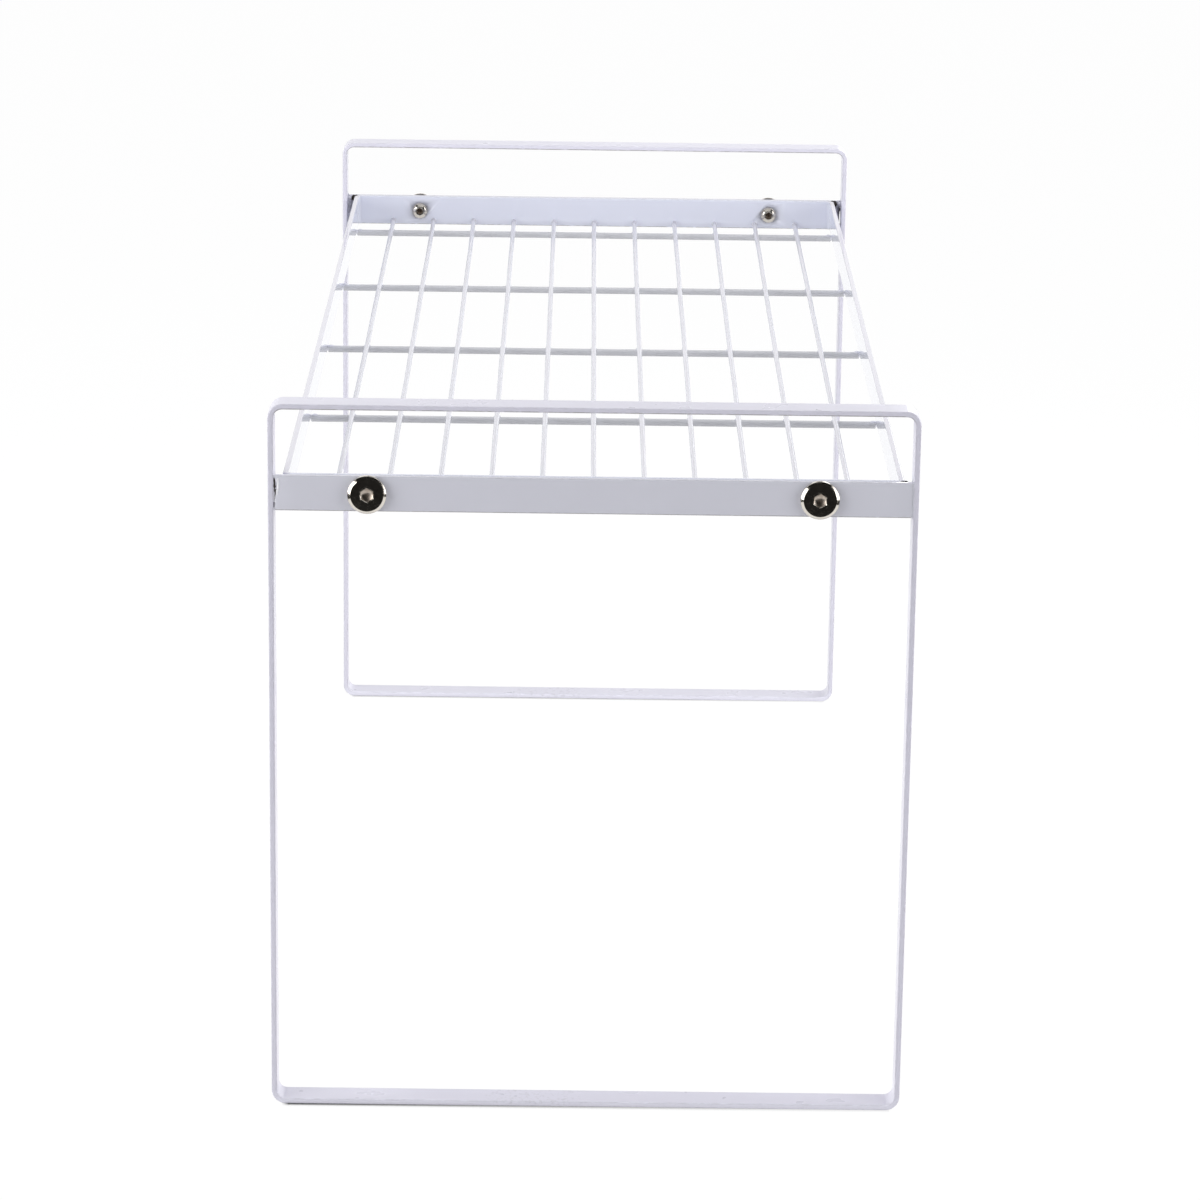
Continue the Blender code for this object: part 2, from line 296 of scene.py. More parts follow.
def makeOrangePeel():
    sizes = {"Ripple Size": 1.6, "Grain Size": 0.3, "Grain Share": 0.2}
    tree, given, result = startGroup("orangePeel", sizes, ["Height"])
    place = millimetrePlace(tree)
    ripple = noiseOf(tree, place, given["Ripple Size"], detail=0.5)
    grain = noiseOf(tree, place, given["Grain Size"], detail=2.0)
    smoothPart = mathNode(tree, "MULTIPLY", ripple, mathNode(tree, "SUBTRACT", 1.0, given["Grain Share"]))
    height = mathNode(tree, "MULTIPLY_ADD", grain, given["Grain Share"], smoothPart)
    tree.links.new(height, result["Height"])
    return tree


def makeFilmDrift():
    # how the film's thickness and gloss drift over some centimetres
    tree, given, result = startGroup("filmDrift", {"Drift Size": 34.0, "Gloss Size": 9.0}, ["Shade", "Gloss"])
    place = millimetrePlace(tree)
    tree.links.new(noiseOf(tree, place, given["Drift Size"], detail=3.0), result["Shade"])
    tree.links.new(noiseOf(tree, place, given["Gloss Size"], detail=2.0), result["Gloss"])
    return tree


def makeSpecks():
    # sparse dust nibs and pin holes: round dots, one in some cells only
    tree, given, result = startGroup("specks", {"Spacing": 6.0, "Speck Size": 0.25, "Share": 0.12}, ["Mask"])
    values = {"Vector": millimetrePlace(tree), "Scale": mathNode(tree, "DIVIDE", 1.0, given["Spacing"])}
    cells = addNode(tree, "ShaderNodeTexVoronoi", values).outputs
    far = mathNode(tree, "MULTIPLY", cells["Distance"], given["Spacing"])
    depth = mathNode(tree, "SUBTRACT", given["Speck Size"], far)
    inside = mathNode(tree, "DIVIDE", depth, given["Speck Size"], clamp=True)
    chance = addNode(tree, "ShaderNodeSeparateColor", {0: cells["Color"]}).outputs[0]
    chosen = mathNode(tree, "LESS_THAN", chance, given["Share"])
    softDot = mathNode(tree, "MULTIPLY", inside, 2.5, clamp=True)
    tree.links.new(mathNode(tree, "MULTIPLY", softDot, chosen), result["Mask"])
    return tree


def makeEdgeThinAndShade():
    # the coat draws back from sharp edges, unevenly; the edge weights that come in also bring painted shade
    # on lower edges and under the top bar
    sizes = {"Edge": 0.0, "Break Size": 2.2, "Amount": 0.5}
    tree, given, result = startGroup("edgeThinAndShade", sizes, ["Mask"])
    broken = noiseOf(tree, millimetrePlace(tree), given["Break Size"], detail=3.0)
    onEdge = mathNode(tree, "MULTIPLY", islands(tree, broken, gain=2.4, start=-0.55), given["Edge"])
    tree.links.new(mathNode(tree, "MULTIPLY", onEdge, given["Amount"]), result["Mask"])
    return tree


def makeGroundMarks():
    # short scratches of a grinding wheel, with grains of weld left between them
    sizes = {"Area": 0.0, "Scratch Width": 0.35, "Grain Size": 1.1}
    tree, given, result = startGroup("groundMarks", sizes, ["Height", "Mask"])
    place = millimetrePlace(tree)
    # turned by 24 degrees, and seven times as long as wide
    values = {"Vector": place, "Rotation": (0, 0, math.radians(24)), "Scale": (0.14, 1.0, 0.14)}
    stretched = addNode(tree, "ShaderNodeMapping", values).outputs[0]
    scratches = noiseOf(tree, stretched, given["Scratch Width"], detail=2.0)
    grains = noiseOf(tree, place, given["Grain Size"], detail=2.0)
    raised = islands(tree, grains, gain=4.0, start=-2.1)
    both = mathNode(tree, "MULTIPLY_ADD", scratches, 0.45, raised)  # scratches less than half as deep
    tree.links.new(mathNode(tree, "MULTIPLY", both, given["Area"]), result["Height"])
    tree.links.new(mathNode(tree, "MULTIPLY", raised, given["Area"]), result["Mask"])
    return tree


def makeTurningMarks():
    # rings that a lathe leaves round the piece's own axis
    tree, given, result = startGroup("turningMarks", {"Line Width": 0.06}, ["Height"])
    x, y, _ = splitPlace(tree, millimetrePlace(tree))
    squares = mathNode(tree, "ADD", mathNode(tree, "POWER", x, 2.0), mathNode(tree, "POWER", y, 2.0))
    lineNumber = mathNode(tree, "DIVIDE", mathNode(tree, "SQRT", squares), given["Line Width"])
    values = {"W": lineNumber, "Scale": 1.0, "Detail": 3.0}
    lines = addNode(tree, "ShaderNodeTexNoise", values, noise_dimensions="1D")
    tree.links.new(lines.outputs["Fac"], result["Height"])
    return tree


def makeTarnish():
    # cloudy film on the plating, thicker where the attribute says the surface is hidden
    sizes = {"Hidden": 0.0, "Cloud Size": 1.4, "Open Amount": 0.2}
    tree, given, result = startGroup("tarnish", sizes, ["Mask"])
    cloud = noiseOf(tree, millimetrePlace(tree), given["Cloud Size"], detail=3.0)
    lifted = islands(tree, cloud, gain=2.6, start=-0.8)
    film = mathNode(tree, "MULTIPLY", lifted, given["Open Amount"])
    halfClear = mathNode(tree, "MULTIPLY_ADD", lifted, 0.5, 0.5)
    hidden = mathNode(tree, "MULTIPLY", given["Hidden"], halfClear)
    tree.links.new(mathNode(tree, "MAXIMUM", film, hidden), result["Mask"])
    return tree


orangePeel = makeOrangePeel()
filmDrift = makeFilmDrift()
specks = makeSpecks()
edgeThinAndShade = makeEdgeThinAndShade()
groundMarks = makeGroundMarks()
turningMarks = makeTurningMarks()
tarnish = makeTarnish()
print("shader groups made")


# finishes; depths and heights are millimetres

noiseSpan = (0.3, 0.7)  # where nearly all values of a noise lie

coatLook = {
    "ior": 1.5, "clearRoughness": 0.06,
    "shadeDrift": (0.965, 1.035),  # times the colour, as the film gets thinner and thicker
    "thinAndShadeColor": (0.39, 0.375, 0.39, 1),  # where the coat is thin over an edge, and painted shade on lower edges
    "nibColor": (0.30, 0.28, 0.27, 1),  # dust caught in the coat
    "groundDepth": 0.05, "groundShare": 0.35, "groundDullness": 0.2,  # where a seam was ground off
    "nibShare": 0.8, "edgeDullness": 0.12,
}

# cool white powder coat; each kind of piece gets its own white, which holds painted light and shade for how
# light falls on that kind, the rods' much darker white most of all; peel is ripple size, grain size and grain
# share, edge is break size and amount, specks is spacing, size and share
# rim: a lighter white, painted light on the front and back faces of the bottom bar
strapFinish = {
    "color": (0.728, 0.717, 0.812), "rim": (0.860, 0.850, 0.950), "roughness": (0.27, 0.31), "clear": 0.20,
    "peel": (1.7, 0.35, 0.18), "peelDepth": 0.0002, "edge": (2.6, 0.45),
    "specks": (9.0, 0.22, 0.10), "nibHeight": 0.012,
}
barFinish = {
    "color": (0.728, 0.731, 0.802), "roughness": (0.09, 0.15), "clear": 0.6,
    "peel": (1.5, 0.30, 0.18), "peelDepth": 0.0014, "edge": (2.2, 0.50),
    "specks": (8.0, 0.22, 0.12), "nibHeight": 0.012,
}
# rim: a greyer colour, painted shade on the top edges of the rails
frameFinish = {
    "color": (0.765, 0.787, 0.898), "rim": (0.680, 0.667, 0.745), "roughness": (0.04, 0.07), "clear": 0.6,
    "peel": (1.9, 0.35, 0.10), "peelDepth": 0.0007, "edge": (2.2, 0.40),
    "specks": (8.0, 0.20, 0.10), "nibHeight": 0.010,
}
wireFinish = {
    "color": (0.668, 0.666, 0.724), "roughness": (0.24, 0.26), "clear": 0.4,
    "peel": (1.0, 0.25, 0.25), "peelDepth": 0.0003, "edge": (1.5, 0.30),
    "specks": (7.0, 0.14, 0.05), "nibHeight": 0.003,
}
# painted shade: the rods get a much darker white than the other pieces
rodFinish = {
    **wireFinish, "color": (0.580, 0.586, 0.618), "roughness": (0.22, 0.28), "clear": 0.30,
    "peel": (1.2, 0.25, 0.25),
}
weldFinish = {
    "color": (0.710, 0.715, 0.790), "roughness": (0.20, 0.30), "clear": 0.5,
    "peel": (0.7, 0.20, 0.40), "peelDepth": 0.004, "edge": (1.0, 0.55),
    "specks": (3.0, 0.20, 0.14), "nibHeight": 0.010,
}
# painted highlight: a near white, glossy coat for the ridges at the plate's tacked end
highlightRidgeFinish = {
    **weldFinish, "color": (0.950, 0.955, 0.990), "roughness": (0.14, 0.20), "clear": 0.9,
    "peelDepth": 0.002, "edge": (1.0, 0.10), "specks": (5.0, 0.15, 0.06), "nibHeight": 0.005,
}


def readAttribute(tree, name):
    # 0 on a mesh that doesn't have it
    return addNode(tree, "ShaderNodeAttribute", attribute_name=name).outputs["Fac"]


def addBump(tree, height, depth, under=None):
    values = {"Strength": 1, "Distance": depth * mm, "Height": height, "Normal": under}
    return addNode(tree, "ShaderNodeBump", values).outputs[0]


def makeCoat(name, look):
    material, tree, shader = startMaterial(name)
    feed(tree, shader.inputs, {"Coat Weight": look["clear"], "Coat Roughness": coatLook["clearRoughness"],
                               "IOR": coatLook["ior"]})
    peel = placeGroup(tree, orangePeel, *look["peel"])["Height"]
    film = placeGroup(tree, filmDrift)
    nibs = placeGroup(tree, specks, *look["specks"])["Mask"]
    thinAndShade = placeGroup(tree, edgeThinAndShade, readAttribute(tree, "edge"), *look["edge"])["Mask"]
    marks = placeGroup(tree, groundMarks, readAttribute(tree, "ground"))
    dull, full = (tuple(share * part for part in look["color"]) + (1,) for share in coatLook["shadeDrift"])
    shade = mixColor(tree, film["Shade"], dull, full)
    # the rim colour paints light on the straps' bottom bar and shade on the frame's top edges
    if "rim" in look:
        shade = mixColor(tree, readAttribute(tree, "rim"), shade, look["rim"] + (1,))
    # thin coat over edges, with painted shade where the edge weights are raised on lower edges
    shade = mixColor(tree, thinAndShade, shade, coatLook["thinAndShadeColor"])
    bared = mathNode(tree, "MULTIPLY", marks["Mask"], coatLook["groundShare"])
    shade = mixColor(tree, bared, shade, coatLook["thinAndShadeColor"])
    dust = mathNode(tree, "MULTIPLY", nibs, coatLook["nibShare"])
    shade = mixColor(tree, dust, shade, coatLook["nibColor"])
    gloss = mapNode(tree, film["Gloss"], noiseSpan, look["roughness"])
    gloss = mathNode(tree, "MULTIPLY_ADD", marks["Mask"], coatLook["groundDullness"], gloss)
    gloss = mathNode(tree, "MULTIPLY_ADD", thinAndShade, coatLook["edgeDullness"], gloss, clamp=True)
    normal = addBump(tree, peel, look["peelDepth"])
    normal = addBump(tree, marks["Height"], coatLook["groundDepth"], normal)
    normal = addBump(tree, nibs, look["nibHeight"], normal)
    feed(tree, shader.inputs, {"Base Color": shade, "Roughness": gloss, "Normal": normal})
    return material


# cloud is cloud size and amount in the open, waves is how wide the shape and the gloss drift
nutFinish = {
    "color": (0.70, 0.665, 0.605, 1), "tarnish": (0.60, 0.50, 0.42, 1), "roughness": (0.07, 0.15),
    "lineWidth": 0.07, "lineDepth": 0.0012, "cloud": (1.5, 0.12), "filmDullness": 0.42,
    "waves": (4.0, 1.2), "waveDepth": 0.02,
}
screwFinish = {
    **nutFinish, "color": (0.60, 0.575, 0.53, 1), "tarnish": (0.22, 0.16, 0.12, 1),
    "roughness": (0.10, 0.20), "lineWidth": 0.05, "lineDepth": 0.0010, "cloud": (0.9, 0.18),
    "filmDullness": 0.25,
}


def makeNickel(name, look):
    material, tree, shader = startMaterial(name)
    lines = placeGroup(tree, turningMarks, look["lineWidth"])["Height"]
    film = placeGroup(tree, tarnish, readAttribute(tree, "hidden"), *look["cloud"])["Mask"]
    waves = placeGroup(tree, filmDrift, *look["waves"])
    gloss = mapNode(tree, waves["Gloss"], noiseSpan, look["roughness"])
    gloss = mathNode(tree, "MULTIPLY_ADD", film, look["filmDullness"], gloss, clamp=True)
    normal = addBump(tree, lines, look["lineDepth"])
    normal = addBump(tree, waves["Shade"], look["waveDepth"], normal)
    shade = mixColor(tree, film, look["color"], look["tarnish"])
    feed(tree, shader.inputs, {"Base Color": shade, "Metallic": 1, "Roughness": gloss, "Normal": normal})
    return material


strapCoat = makeCoat("strapCoat", strapFinish)
barCoat = makeCoat("barCoat", barFinish)
frameCoat = makeCoat("frameCoat", frameFinish)
wireCoat = makeCoat("wireCoat", wireFinish)
rodCoat = makeCoat("rodCoat", rodFinish)
weldCoat = makeCoat("weldCoat", weldFinish)
highlightRidgeCoat = makeCoat("highlightRidgeCoat", highlightRidgeFinish)
nutNickel = makeNickel("nutNickel", nutFinish)
screwNickel = makeNickel("screwNickel", screwFinish)
print("finishes made")


# mesh helpers; they work in millimetres and hand over metres

def plainMesh(name, points, faces):
    mesh = bpy.data.meshes.new(name)
    mesh.from_pydata([Vector(point) * mm for point in points], [], faces)
    return mesh


def solidMesh(name, points, faces, material):
    # with every face turned outward
    mesh = plainMesh(name, points, faces)
    work = bmesh.new()
    work.from_mesh(mesh)
    bmesh.ops.recalc_face_normals(work, faces=work.faces)
    work.to_mesh(mesh)
    work.free()
    mesh.materials.append(material)
    return mesh


def finishMesh(mesh, weights, sharp):
    for label, values in weights.items():
        mesh.attributes.new(label, "FLOAT", "POINT").data.foreach_set("value", values)
    mesh.shade_smooth()
    mesh.set_sharp_from_angle(angle=math.radians(sharp))


def ridePiece(piece, node=None):
    if node:
        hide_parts(node)
    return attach(piece, "root")


def coatedPiece(name, points, faces, material, node=None, sharp=40, **weights):
    mesh = solidMesh(name, points, faces, material)
    finishMesh(mesh, weights, sharp)
    return ridePiece(addObject(name, mesh), node)


def cornerArcs(halfA, halfB, radius, steps):
    # each corner of a rounded rectangle: number, signs, and points with their way out
    for corner, (signA, signB) in enumerate(((1, 1), (-1, 1), (-1, -1), (1, -1))):
        midA, midB = signA * (halfA - radius), signB * (halfB - radius)
        arc = []
        for step in range(steps + 1):
            angle = (corner + step / steps) * math.pi / 2
            out = (math.cos(angle), math.sin(angle))
            arc.append((midA + radius * out[0], midB + radius * out[1], out))
        yield corner, signA, signB, arc


def roundedSection(width, thickness, radius, steps=5, hold=0.14):
    # (across, out, edge share) round a bar's section; the hold points keep its faces flat
    points = []
    for corner, signA, signB, arc in cornerArcs(width / 2, thickness / 2, radius, steps):
        (firstA, firstB, _), (lastA, lastB, _) = arc[0], arc[-1]
        if corner % 2 == 0:
            before, after = (firstA, firstB - signB * hold, 0), (lastA - signA * hold, lastB, 0)
        else:
            before, after = (firstA - signA * hold, firstB, 0), (lastA, lastB - signB * hold, 0)
        rounded = [(a, b, math.sin(step / steps * math.pi)) for step, (a, b, _) in enumerate(arc)]
        points += [before, *rounded, after]
    return points


def divided(section, longest):
    # adds points where two neighbours lie further apart
    result = []
    for here, after in zip(section, section[1:] + section[:1]):
        count = int(math.hypot(after[0] - here[0], after[1] - here[1]) / longest)
        result.append(here)
        for index in range(1, count + 1):
            share = index / (count + 1)
            result.append((here[0] + (after[0] - here[0]) * share, here[1] + (after[1] - here[1]) * share, 0))
    return result


def loopPath(halfA, halfB, radius, spacing, steps=14):
    # (a, b, way out) round a rectangle with round corners
    path = []
    straights = ((-1, 0), (0, -1), (1, 0), (0, 1))  # the way on after each corner
    for corner, _, _, arc in cornerArcs(halfA, halfB, radius, steps):
        path += arc
        length = 2 * ((halfA if corner % 2 == 0 else halfB) - radius)
        count = max(2, round(length / spacing))
        a, b, out = arc[-1]
        for index in range(1, count):
            travel = length * index / count
            path.append((a + straights[corner][0] * travel, b + straights[corner][1] * travel, out))
    return path


def rowsOf(points, count, first=0):
    # the point numbers of sections that follow one another
    return [list(range(start, start + count)) for start in range(first, len(points), count)]


def stitch(rows, closed=False, capped=False):
    # quads between neighbouring sections
    faces = []
    count = len(rows[0])
    pairs = list(zip(rows, rows[1:])) + ([(rows[-1], rows[0])] if closed else [])
    for near, far in pairs:
        for index in range(count):
            after = (index + 1) % count
            faces.append((near[index], near[after], far[after], far[index]))
    if capped:
        faces += [tuple(rows[0]), tuple(reversed(rows[-1]))]
    return faces


def stitchToPoles(rows, bottom, top):
    # quads between the rows, and triangles from the first and last row to a point
    faces = stitch(rows)
    count = len(rows[0])
    for index in range(count):
        after = (index + 1) % count
        faces.append((bottom, rows[0][after], rows[0][index]))
        faces.append((top, rows[-1][index], rows[-1][after]))
    return faces


def waverAt(place, size, depth, seed):
    # a slow unevenness between 0 and depth
    spot = Vector(place) / size + Vector((seed * 7.3, seed * 3.1, seed * 5.7))
    return depth * (0.5 + 0.5 * max(-1, min(1, 1.6 * noise.noise(spot))))


def stationsAlong(half, count, endSteps):
    # places along a bar: close together at both ends and even between them
    even = [-half + 2 * half * index / count for index in range(1, count)]
    return [-half + step for step in endSteps] + even + [half - step for step in reversed(endSteps)]


def reshape(piece, kind, **settings):
    # the shape with a modifier becomes the piece's own mesh
    setAll(piece.modifiers.new("reshape", kind), **settings)
    bpy.context.view_layer.update()
    shown = piece.evaluated_get(bpy.context.evaluated_depsgraph_get())
    mesh = bpy.data.meshes.new_from_object(shown)
    piece.modifiers.clear()
    piece.data = mesh


def applyCut(piece, cutterMesh):
    cutter = addObject("cutter", cutterMesh)
    reshape(piece, "BOOLEAN", operation="DIFFERENCE", solver="EXACT", object=cutter)
    bpy.data.objects.remove(cutter)


# leg rings

ringLook = {
    "width": 200.0, "height": 229.0, "strapWidth": 10.0, "strapThickness": 1.8,
    "bendRadius": 3.7, "edgeRadius": 0.50, "footEdgeRadius": 0.26, "spacing": 6.0,
    "waver": 0.07, "waverSize": 55, "innerWaver": 0.4,
    "edgeWear": 0.7, "topBarUndersideShade": 3.0,  # thin coat on all edges, and painted shade on the edges under the top bar
    "rimDepth": 0.3,
    "groundPatch": (-17.0, 19.0, 2.2),  # middle, half length and fade of the ground-off seam
}
legInside = ringLook["width"] / 2 - ringLook["strapThickness"]


def makeRing(name, node, middle, seed, look):
    halfA = look["width"] / 2 - look["strapThickness"] / 2
    halfB = look["height"] / 2 - look["strapThickness"] / 2
    section = roundedSection(look["strapWidth"], look["strapThickness"], look["edgeRadius"])
    crisp = roundedSection(look["strapWidth"], look["strapThickness"], look["footEdgeRadius"])
    patchMiddle, patchHalf, patchFade = look["groundPatch"]
    points, edge, ground, rim = [], [], [], []
    for a, b, out in loopPath(halfA, halfB, look["bendRadius"], look["spacing"]):
        slip = waverAt((a, b, 0), look["waverSize"], look["waver"], seed)
        inBottomBar = b < -halfB + 0.5
        near = max(0, 1 - abs(a - patchMiddle) / patchHalf) if inBottomBar else 0
        for (across, lift, share), (crispAcross, crispLift, _) in zip(section, crisp):
            # the underside of the bottom bar keeps crisper edges
            foot = max(0, -out[1]) if lift > 0 else 0
            across += (crispAcross - across) * foot
            lift += (crispLift - lift) * foot
            # unevenness only draws the strap inward, so it stays inside its space
            reach = lift - (slip if lift > 0 else -slip * look["innerWaver"])
            points.append((a + out[0] * reach, middle + across, look["height"] / 2 + b + out[1] * reach))
            fall = out[1] if lift < 0 else 0  # 1 on the underside of the top bar
            wearAndShade = look["edgeWear"] + look["topBarUndersideShade"] * max(0, fall) - look["edgeWear"] * foot
            edge.append(share * wearAndShade)
            # rim: where painted light falls, on the front and back faces of the bottom bar
            rim.append(max(0, -out[1]) if abs(across) > look["strapWidth"] / 2 - look["rimDepth"] else 0)
            ground.append(min(1, near * patchFade) if lift < 0 else 0)
    faces = stitch(rowsOf(points, len(section)), closed=True)
    coatedPiece(name, points, faces, strapCoat, node, edge=edge, ground=ground, rim=rim)


ringLow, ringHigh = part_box("front_leg_ring")
frontRingMiddle = (ringLow.y + ringHigh.y) / 2 / mm
makeRing("frontRing", "front_leg_ring", frontRingMiddle, 1, ringLook)
makeRing("backRing", "back_leg_ring", -frontRingMiddle, 2, ringLook)
print("leg rings made")


# cross plates and deck frame; all are flat bars of one height, bored for the same fasteners

barLook = {
    "height": 11.2, "middle": 201.0, "waver": 0.07,
    "holeAcross": 69.5, "holeRadius": 2.8, "holeSides": 40, "drillLength": 6,
}
plateLook = {
    "thickness": 1.6, "half": 97.9, "edgeRadius": 0.38, "parts": 28, "tallestFace": 1.0, "waverSize": 60,
    "endSteps": (0.0, 0.12, 0.32), "endShrink": 0.8,  # how the ends are rounded off
    "gap": (0.75, 0.42, 2.1),  # of the open slit: width, reach up and down, lean upward
    "edgeWear": (0.6, 8.0),  # thin coat on the upper edges; thin coat and strong painted shade on the lower edges
}
frameLook = {
    "thickness": 1.8, "halfWidth": 95.6, "halfLength": 223.1, "bendRadius": 2.1, "edgeRadius": 0.40,
    # edgeWear: thin coat on the upper edges, thin coat and painted shade on the lower edges
    "spacing": 8.0, "waverSize": 70, "innerWaver": 0.3, "edgeWear": (0.6, 4.0), "rimDepth": 0.3,
}


def boreHoles(piece, middles, look):
    # cuts round holes along Y, at each middle on both sides of the shelf
    work = bmesh.new()
    radius = look["holeRadius"] * mm
    for side in bothEnds:
        for y in middles:
            place = Vector((side * look["holeAcross"], y, look["middle"])) * mm
            turned = Matrix.Translation(place) @ Matrix.Rotation(math.pi / 2, 4, "X")
            bmesh.ops.create_cone(work, cap_ends=True, segments=look["holeSides"], radius1=radius,
                                  radius2=radius, depth=look["drillLength"] * mm, matrix=turned)
    mesh = bpy.data.meshes.new("drill")
    work.to_mesh(mesh)
    work.free()
    applyCut(piece, mesh)


def makePlate(name, node, face, direction, seed, look):
    # face is the outer face's place along Y; the plate lies inward of it
    thickness, height, half = look["thickness"], barLook["height"], look["half"]
    section = divided(roundedSection(thickness, height, look["edgeRadius"]), look["tallestFace"])
    gapWidth, gapReach, gapLean = look["gap"]
    upperWear, lowerWearAndShade = look["edgeWear"]
    endDepth = look["endSteps"][-1]
    points, edge = [], []
    for x in stationsAlong(half, look["parts"], look["endSteps"]):
        inset = max(0, endDepth - (half - abs(x)))  # the ends are rounded off like the long edges
        slip = waverAt((x, 0, 0), look["waverSize"], barLook["waver"], seed)
        middle = face - direction * (thickness / 2 + slip)
        shrinkA = 1 - inset / (thickness / 2) * look["endShrink"]
        shrinkB = 1 - inset / (height / 2) * look["endShrink"]
        for across, lift, share in section:
            rise = max(0, min(1, (lift / height + gapReach) / (2 * gapReach)))
            lean = gapWidth * math.sin(math.pi * rise ** gapLean) if x * direction > half - 1 else 0
            points.append((x - direction * lean, middle + across * shrinkA,
                           barLook["middle"] + lift * shrinkB))
            edge.append(max(share * (lowerWearAndShade if lift < 0 else upperWear), inset / endDepth))
    faces = stitch(rowsOf(points, len(section)), capped=True)
    boreHoles(coatedPiece(name, points, faces, barCoat, node, edge=edge), [face], barLook)


def makeDeckFrame(look):
    thickness, height = look["thickness"], barLook["height"]
    section = roundedSection(height, thickness, look["edgeRadius"])
    halfA, halfB = look["halfWidth"] - thickness / 2, look["halfLength"] - thickness / 2
    upperWear, lowerWearAndShade = look["edgeWear"]
    points, edge, rim = [], [], []
    for a, b, out in loopPath(halfA, halfB, look["bendRadius"], look["spacing"]):
        slip = waverAt((a, b, 4), look["waverSize"], barLook["waver"], 5)
        for across, lift, share in section:
            reach = lift - (slip if lift > 0 else -slip * look["innerWaver"])
            points.append((a + out[0] * reach, b + out[1] * reach, barLook["middle"] + across))
            edge.append(share * (lowerWearAndShade if across < 0 else upperWear))
            # rim: where painted shade falls, on the top edges of the side rails
            rim.append(abs(out[0]) if across > height / 2 - look["rimDepth"] else 0.0)
    faces = stitch(rowsOf(points, len(section)), closed=True)
    deckFrame = coatedPiece("deckFrame", points, faces, frameCoat, "shelf_frame", edge=edge, rim=rim)
    boreHoles(deckFrame, [end * halfB for end in bothEnds], barLook)


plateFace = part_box("front_cross_plate")[0].y / mm
makePlate("frontPlate", "front_cross_plate", plateFace, -1, 8, plateLook)
makePlate("backPlate", "back_cross_plate", -plateFace, 1, 9, plateLook)
makeDeckFrame(frameLook)
print("plates and frame made")


# deck wires and cross rods

wireLook = {"count": 11, "radius": 0.85, "reach": 221.25, "waver": 0.09, "sides": 20}
rodLook = {"count": 5, "radius": 1.2, "reach": 93.75, "waver": 0.08, "sides": 26}
roundLook = {
    "spacing": 7, "sideways": 60, "upward": 50,  # between sections; length of the waves
    "calmEnd": 12,  # no waves right at the welded ends
    "endSteps": (0.0, 0.05, 0.25), "endShrink": 0.22,  # how the ends are rounded off
}


def makeRound(name, node, coat, alongY, seed, look):
    # makes a wire or rod and gives back its middle
    low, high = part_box(node)
    middle = (low + high) / 2 / mm
    reach, waver, sides = look["reach"], look["waver"], look["sides"]
    endDepth = roundLook["endSteps"][-1]
    points = []
    for travel in stationsAlong(reach, round(2 * reach / roundLook["spacing"]), roundLook["endSteps"]):
        fall = min(1, (reach - abs(travel)) / endDepth)
        size = look["radius"] - roundLook["endShrink"] * (1 - math.sqrt(max(0, 1 - (1 - fall) ** 2)))
        free = min(1, (reach - abs(travel)) / roundLook["calmEnd"])
        side = (waverAt((travel, 0, 0), roundLook["sideways"], 2 * waver, seed) - waver) * free
        lift = (waverAt((travel, 9, 0), roundLook["upward"], waver, seed + 20) - waver / 2) * free
        for index in range(sides):
            angle = 2 * math.pi * index / sides
            across, up = side + size * math.cos(angle), lift + size * math.sin(angle)
            points.append((middle.x + across, travel, middle.z + up) if alongY
                          else (travel, middle.y + across, middle.z + up))
    coatedPiece(name, points, stitch(rowsOf(points, sides), capped=True), coat, node)
    return middle


wirePlaces = [makeRound(f"deckWire{n:02d}", f"deck_wire_{n:02d}", wireCoat, True, n, wireLook)
              for n in range(1, wireLook["count"] + 1)]
rodPlaces = [makeRound(f"crossRod{n}", f"cross_rod_{n}", rodCoat, False, 40 + n, rodLook)
             for n in range(1, rodLook["count"] + 1)]
print("wires and rods made")


# welds, under the same coat, but the plate's ridges under a near white coat that paints a highlight; each
# kind has its size across, along and up, and how lumpy it is

weldLook = {
    "crossing": ((1.05, 1.15, 0.62), 0.09), "crossingRise": 0.12,
    "wireEnd": ((1.12, 0.75, 1.05), 0.09), "wireEndInset": 0.25, "wireEndDrop": 0.1,
    "rodEnd": ((0.75, 1.15, 1.05), 0.12), "rodEndInset": 0.15, "rodEndRise": 0.15,
    "cusp": ((1.25, 0.80, 0.70), 0.14), "cuspInset": 1.0, "cuspScatter": 0.3, "cuspRise": 0.80,
    "variation": 0.08, "cuspVariation": 0.15,
    "thinCoat": (0.10, 0.20, 0.2),  # least, how much it varies, and at the poles
    "around": 14, "rise": 9,  # faces of one lump
}
plateWeldLook = {
    "bead": ((0.95, 0.95, 0.95), 0.12), "beadLength": 10.6, "beads": 9, "tackShare": 0.4,
    "beadPlace": (0.35, 0.60),  # in from the leg, and behind the plate
    "outerDepth": 0.45,  # the middle of the welds in the plate's end, below its face
    "fill": (0.42, 0.34, 0.95), "fills": 11, "fillMargin": 1.2, "fillInset": 0.05,
    "tack": (0.62, 0.36, 0.55), "tackMargin": 0.9, "tackInset": 0.1,
    "ridge": ((0.38, 0.26, 1.0), 0.10), "ridgeOut": 0.30,
    "ridgeSpots": ((3.8, 1.36), (2.9, 1.44), (2.0, 1.42), (1.1, 1.30), (0.2, 1.14)),  # rise, inset
}
plainSize = (1, 1, 1)


